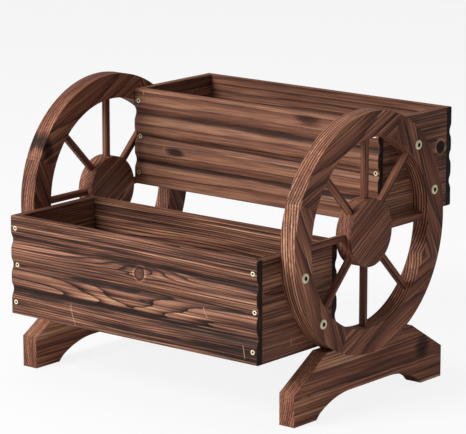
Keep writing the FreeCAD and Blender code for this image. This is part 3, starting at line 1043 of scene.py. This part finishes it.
@dataclass
class Hardware:
    """Screws, bolts, nuts, washers, brads and the rims' hidden tongues.

    The shares turn half the size of a flat-sided head of the frame into a round radius.
    """

    screw_share: float = 0.97
    bolt_share: float = 0.965
    recess_depth: float = 1.6 * MM
    socket_width: float = 5 * MM
    socket_depth: float = 4 * MM
    bolt_head: float = 2.6 * MM
    bolt_shank: float = 4 * MM
    bore: float = 4.05 * MM
    chamfer: float = 0.6 * MM

    def dress(self) -> None:
        """Build the heads that show and dress what doesn't."""
        brassed = BRASSED.dress("yellow_plate")
        recess = RECESS_SHADE.dress("shaded_recess")
        zinc = ZINC.dress("zinc_plate")
        for level in Level:
            node = f"{level.value}_box_panel_screws"
            self._screws(node, Y_AXIS, (brassed, recess), both_ways=True)
        self._screws("foot_screws", -Z_AXIS, (zinc, recess))
        self._wheel_bolts((brassed, recess))
        self._washers(zinc)
        self._nuts(zinc)
        for node in ("floor_brads", "cleat_brads"):
            clothe(node, zinc)
        timber = Timber(Vector(), Z_AXIS, Y_AXIS, 77.0)
        clothe("rim_tongues", FLOOR_FIR.dress("rim_tongues", timber))

    def _screws(
        self,
        node: str,
        axis: Vector,
        materials: Sequence[bpy.types.Material],
        both_ways: bool = False,
    ) -> None:
        """Build countersunk screws with a cross recess on the frame's own spots.

        Args:
            node: the screws' node.
            axis: the way their heads look.
            materials: of the heads, and the painted shade of the recesses.
            both_ways: whether those in the front half look the other way.
        """
        lathe = Lathe()
        middle = middle_of(node)
        for low, high in islands(node):
            spot = (low + high) / 2
            outward = -axis if both_ways and spot.y < middle.y else axis
            length = abs((high - low).dot(axis))
            spot += outward * length / 2
            radius = (high.x - low.x) / 2 * self.screw_share
            shank = radius * 0.45
            rings = (
                Ring(cross_of(radius * 0.24, radius * 0.1), -self.recess_depth, 1),
                Ring(cross_of(radius * 0.36, radius * 0.2), -0.2 * MM, 1),
                Ring(round_of(radius * 0.5), -0.1 * MM),
                Ring(round_of(radius * 0.92), 0.0),
                Ring(round_of(radius), -0.2 * MM),
                Ring(round_of(radius * 0.98), -0.5 * MM),
                Ring(round_of(shank), -radius * 0.62),
                Ring(round_of(shank), -length + radius),
                Ring(round_of(shank * 0.1), -length),
            )
            lathe.turn(spot, outward, rings)
        lathe.put(node + "_turned", materials, node)

    def _washers(self, zinc: bpy.types.Material) -> None:
        """Build round washers on the frame's own spots.

        Args:
            zinc: their material.
        """
        lathe = Lathe()
        for low, high in islands("wheel_washers"):
            radius = (high.z - low.z) / 2
            half = (high.x - low.x) / 2
            rings = (
                Ring(round_of(self.bore), half),
                Ring(round_of(radius * 0.97), half),
                Ring(round_of(radius), half * 0.6),
                Ring(round_of(radius), half * -0.6),
                Ring(round_of(radius * 0.97), -half),
                Ring(round_of(self.bore), -half),
            )
            lathe.turn((low + high) / 2, X_AXIS, rings, bored=True)
        lathe.put("wheel_washers_turned", (zinc,), "wheel_washers")

    def _nuts(self, zinc: bpy.types.Material) -> None:
        """Build hexagon nuts with chamfered corners on the frame's own spots.

        Args:
            zinc: their material.
        """
        lathe = Lathe()
        for low, high in islands("wheel_nuts"):
            size = high - low
            width = min(size.y, size.z)
            half = size.x / 2
            face, mouth = round_of(width * 0.48), round_of(self.bore * 1.15)
            rings = (
                Ring(mouth, half),
                Ring(face, half),
                Ring(hexagon_of(width), half - 1 * MM),
                Ring(hexagon_of(width), 1 * MM - half),
                Ring(face, -half),
                Ring(mouth, -half),
                Ring(round_of(self.bore), self.chamfer - half),
                Ring(round_of(self.bore), half - self.chamfer),
            )
            lathe.turn((low + high) / 2, X_AXIS, rings, bored=True)
        lathe.put("wheel_nuts_turned", (zinc,), "wheel_nuts")

    def _wheel_bolts(self, materials: Sequence[bpy.types.Material]) -> None:
        """Build low domed bolts with a hexagon socket on the frame's own spots.

        Args:
            materials: of the heads, and the painted shade of the sockets.
        """
        lathe = Lathe()
        for low, high in islands("wheel_bolts"):
            spot = (low + high) / 2
            right = spot.x > 0
            spot.x = high.x if right else low.x
            radius = (high.z - low.z) / 2 * self.bolt_share
            length = high.x - low.x
            rings = (
                Ring(hexagon_of(self.socket_width), -self.socket_depth, 1),
                Ring(hexagon_of(self.socket_width), -0.9 * MM, 1),
                Ring(round_of(radius * 0.48), -0.5 * MM),
                Ring(round_of(radius * 0.58), 0.0),
                Ring(round_of(radius * 0.8), -0.1 * MM),
                Ring(round_of(radius * 0.94), -0.6 * MM),
                Ring(round_of(radius), -1.4 * MM),
                Ring(round_of(radius), -self.bolt_head),
                Ring(round_of(self.bolt_shank), -self.bolt_head),
                Ring(round_of(self.bolt_shank), self.chamfer - length),
                Ring(round_of(self.bolt_shank - self.chamfer), -length),
            )
            lathe.turn(spot, X_AXIS if right else -X_AXIS, rings)
        lathe.put("wheel_bolts_turned", materials, "wheel_bolts")


# ------------------------------------------------------------------- studio


@dataclass(frozen=True)
class Lamp:
    """A soft square lamp."""

    name: str
    place: Triple
    size: float
    power: float

    def hang(self, target: Vector) -> None:
        """Hang the lamp and turn it to its target.

        Args:
            target: what it looks at.
        """
        data = bpy.data.lights.new(self.name, "AREA")
        data.size = self.size
        data.energy = self.power
        lamp = bpy.data.objects.new(self.name, data)
        lamp.location = self.place
        lamp.rotation_mode = "QUATERNION"
        lamp.rotation_quaternion = (target - lamp.location).to_track_quat("-Z", "Y")
        bpy.context.scene.collection.objects.link(lamp)


@dataclass
class Studio:
    """A pale floor, soft lights and the camera of the photograph."""

    lens: float = 222.6
    sensor: float = 36
    camera_place: Triple = (3.3731, -4.1133, 1.4823)
    azimuth: float = 39.33
    elevation: float = 12.53
    floor_size: float = 60.0
    floor_drop: float = 0.5 * MM
    floor_colour: Colour = (0.86, 0.86, 0.86, 1.0)
    seen_share: float = 0.86
    world_light: float = 0.22
    lamp_target: Triple = (0, 0, 0.25)
    lamps: tuple[Lamp, ...] = (
        Lamp("key", (-1.5, -4.3, 3.0), 2.2, 265),
        Lamp("fill", (3.6, -1.0, 2.4), 2.4, 4),
        Lamp("top", (-0.5, 0.6, 4.0), 3.0, 45),
    )

    def build(self) -> None:
        """Set up the view, floor, world and lamps."""
        self._camera()
        self._floor()
        self._world()
        for lamp in self.lamps:
            lamp.hang(Vector(self.lamp_target))
        bpy.context.scene.view_settings.view_transform = "Standard"

    def _camera(self) -> None:
        """Place the camera."""
        data = bpy.data.cameras.new("camera")
        data.lens = self.lens
        data.sensor_width = self.sensor
        data.clip_start, data.clip_end = 0.1, 100
        camera = bpy.data.objects.new("camera", data)
        turn, rise = math.radians(self.azimuth), math.radians(self.elevation)
        level = Vector((-math.sin(turn), math.cos(turn), 0))
        ahead = level * math.cos(rise) - Z_AXIS * math.sin(rise)
        camera.rotation_mode = "QUATERNION"
        camera.rotation_quaternion = ahead.to_track_quat("-Z", "Y")
        camera.location = self.camera_place
        bpy.context.scene.collection.objects.link(camera)
        bpy.context.scene.camera = camera

    @staticmethod
    def _seen_white(graph: Graph, lit: bpy.types.Node, white_kind: str, share: float) -> bpy.types.Node:
        """Mix white into what the camera sees, without adding light.

        Args:
            graph: the node tree.
            lit: the shader that takes part in the light.
            white_kind: the type of the node that shows white.
            share: how much of it shows.

        Returns:
            The mixed shader.
        """
        seen = Signal(graph, graph.add("ShaderNodeLightPath").outputs["Is Camera Ray"]) * share
        white = graph.add(white_kind, None, {"Color": (1, 1, 1, 1), "Strength": 1.0})
        return graph.add("ShaderNodeMixShader", None, {0: seen, 1: lit.outputs[0], 2: white.outputs[0]})

    def _floor(self) -> None:
        """Lay the floor, pale with the cart's shadow on it."""
        shape = bmesh.new()
        bmesh.ops.create_grid(shape, x_segments=1, y_segments=1, size=self.floor_size / 2)
        mesh = bpy.data.meshes.new("floor")
        shape.to_mesh(mesh)
        shape.free()
        graph, material = Graph.of_material("pale_floor")
        base = graph.add("ShaderNodeBsdfDiffuse", None, {"Color": self.floor_colour})
        graph.close(self._seen_white(graph, base, "ShaderNodeEmission", self.seen_share))
        mesh.materials.append(material)
        floor = bpy.data.objects.new("floor", mesh)
        floor.location.z = -self.floor_drop
        bpy.context.scene.collection.objects.link(floor)

    def _world(self) -> None:
        """Light the scene evenly from all round."""
        world = bpy.data.worlds.new("studio")
        world.use_nodes = True
        bpy.context.scene.world = world
        graph = Graph(world.node_tree)
        inputs = {"Color": (1, 1, 1, 1), "Strength": self.world_light}
        base = graph.add("ShaderNodeBackground", None, inputs)
        graph.close(self._seen_white(graph, base, "ShaderNodeBackground", 1.0), "World")


# -------------------------------------------------------------------- marks


def lower_boards() -> dict[str, Board]:
    """Mark the lower box's boards.

    Returns:
        The boards that have marks of their own, by place.
    """
    front = Board(
        heart=(-0.016, -0.036),
        bulge=0.0085,
        shade=-0.09,
        burns=(
            Knot(0.022, 0.031, 0.0125),
            Scorch(0.080, 0.005, 0.25, -0.01),
            Scorch(0.064, 0.004, 0.2, -0.02),
            Scorch(0.049, 0.010, 0.35, -0.012),
            Scorch(0.0, 0.006, 0.1, -0.01),
            Scorch(-0.048, 0.013, 0.34, -0.005),
            Scorch(-0.078, 0.012, 0.26, -0.02),
            Blotch(0.03, -0.018, 0.013, 0.003, 0.4),
            Blotch(0.25, -0.075, 0.2, 0.025, 0.3),
        ),
        scratches=(
            Scratch((-0.1512, -0.0496), (-0.1344, -0.0967), strength=0.45),
            Scratch((0.1708, -0.0053), (0.1844, -0.0281), strength=0.4),
            Scratch((0.2645, -0.0598), (0.2700, -0.0878), strength=0.5),
        ),
    )
    right = Board(scratches=(Scratch((-0.0185, -0.061), (-0.0185, -0.078), strength=0.6),))
    return {"front": front, "right_side": right}


def upper_boards() -> dict[str, Board]:
    """Mark the upper box's boards.

    Returns:
        The boards that have marks of their own, by place.
    """
    front = Board(
        heart=(-0.12, -0.06),
        burns=(
            Scorch(0.046, 0.009, 0.22, -0.02),
            Scorch(0.0, 0.003, 0.3, -0.01),
            Scorch(-0.05, 0.006, 0.3, -0.01),
            Blotch(0.133, 0.081, 0.04, 0.012, 0.35),
            Blotch(-0.191, -0.021, 0.03, 0.012, 0.45),
            Knot(0.288, -0.0005, 0.004, 0.03),
        ),
        scratches=(
            Scratch((-0.2735, 0.094), (-0.2735, 0.084), strength=0.5),
            Scratch((-0.222, -0.010), (-0.222, -0.024), strength=0.3),
        ),
    )
    right = Board(burns=(Knot(0.081, 0.022, 0.013, 0.05, core=-0.05, rim=0.0),))
    return {"front": front, "right_side": right}


def main() -> None:
    """Build the looks, piece by piece."""
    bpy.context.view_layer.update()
    Studio().build()
    crack = Blotch(-0.124, -0.0397, 0.035, 0.0018, 0.6)
    burnt_edge = Blotch(0.131, -0.019, 0.02, 0.05, 0.5)
    Wheel(Hand.LEFT, LEFT_WHEEL_FIR, burns={"upper_front": (burnt_edge,)}).dress()
    shades = {"upper_rear": -0.06, "lower_rear": -0.03}
    Wheel(Hand.RIGHT, burns={"upper_rear": (crack,)}, shades=shades).dress()
    Foot(Hand.LEFT).dress()
    Foot(Hand.RIGHT, burns=(Blotch(0.165, 0.01, 0.03, 0.03, 0.45),)).dress()
    Box(Level.LOWER, seed=101.0, boards=lower_boards()).dress()
    Box(Level.UPPER, seed=151.0, boards=upper_boards()).dress()
    Hardware().dress()


if __name__ == "__main__":
    main()
